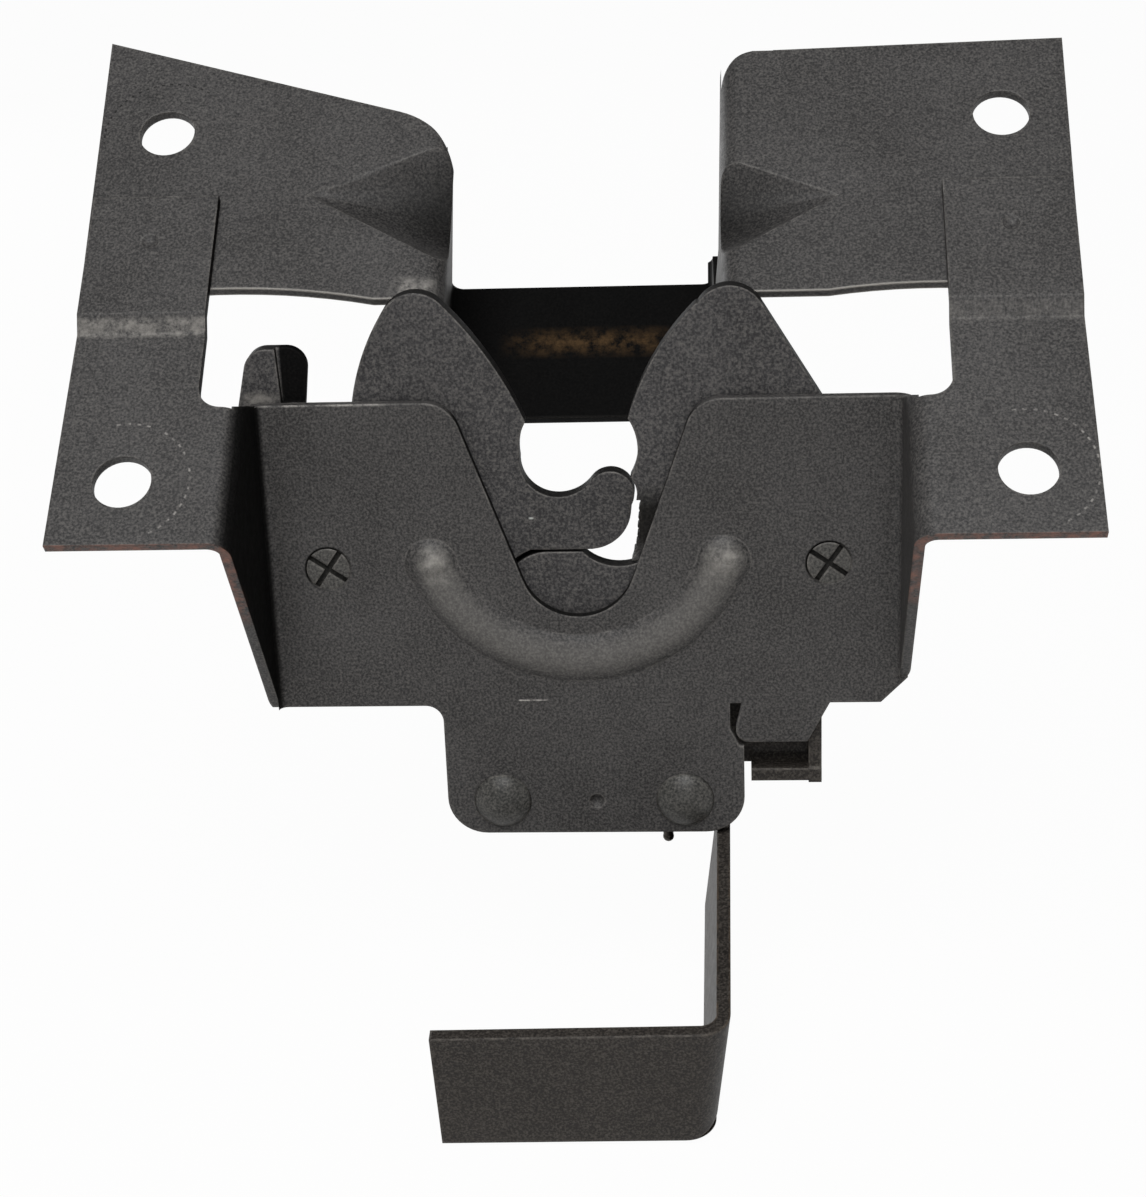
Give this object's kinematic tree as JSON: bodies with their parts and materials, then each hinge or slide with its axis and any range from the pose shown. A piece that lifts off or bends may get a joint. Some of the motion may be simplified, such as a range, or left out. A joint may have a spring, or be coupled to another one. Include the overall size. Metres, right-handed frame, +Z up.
{
  "type": "bonnet latch",
  "caption": "Black pressed-steel bonnet latch: slotted plate with bolt flanges, hat-shaped upper support, two meeting jaws on studs and a bent finger release lever.",
  "frame": {"origin": "middle between the two lower bolt holes on the back face of the lower flanges", "axes": "+X to the right across the bolt holes, +Y towards the back, +Z up along the latch plate"},
  "size_m": [0.221, 0.1356, 0.2213],
  "materials": {
    "black_paint": "satin",
    "stud_steel": "satin",
    "plain_steel": "satin",
    "spring_steel": "satin"
  },
  "bodies": {
    "frame": {"latch_plate": "black_paint", "upper_support": "black_paint", "left_stud": "stud_steel", "right_stud": "stud_steel", "left_stud_washer": "plain_steel", "right_stud_washer": "plain_steel", "jaw_spring": "spring_steel", "lever_rivet": "stud_steel", "lever_bush": "plain_steel", "anchor_rivet": "stud_steel", "anchor_spacer": "plain_steel", "rear_bar": "black_paint", "lever_spring": "spring_steel"},
    "left_jaw": {"left_jaw": "black_paint"},
    "right_jaw": {"right_jaw": "black_paint"},
    "release_lever": {"release_lever": "black_paint"}
  },
  "joints": [
    {"name": "left_jaw_hinge", "type": "hinge", "parent": "frame", "child": "left_jaw", "pos_m": [-0.05745, 0.03148, -0.029], "axis": [0, 1, 0], "range_deg": [-11, 0], "stiffness_Nm_per_rad": 0.5, "deforming": ["jaw_spring"]},
    {"name": "right_jaw_hinge", "type": "hinge", "parent": "frame", "child": "right_jaw", "pos_m": [0.05505, 0.03148, -0.029], "axis": [0, 1, 0], "range_deg": [0, 5.5], "deforming": ["jaw_spring"]},
    {"name": "lever_hinge", "type": "hinge", "parent": "frame", "child": "release_lever", "pos_m": [0.022, 0.03678, -0.087], "axis": [0, 1, 0], "range_deg": [0, 14], "stiffness_Nm_per_rad": 0.5, "deforming": ["lever_spring"]}
  ],
  "couplings": [
    {"joint": "right_jaw_hinge", "follows": "left_jaw_hinge", "ratio": -0.5}
  ]
}
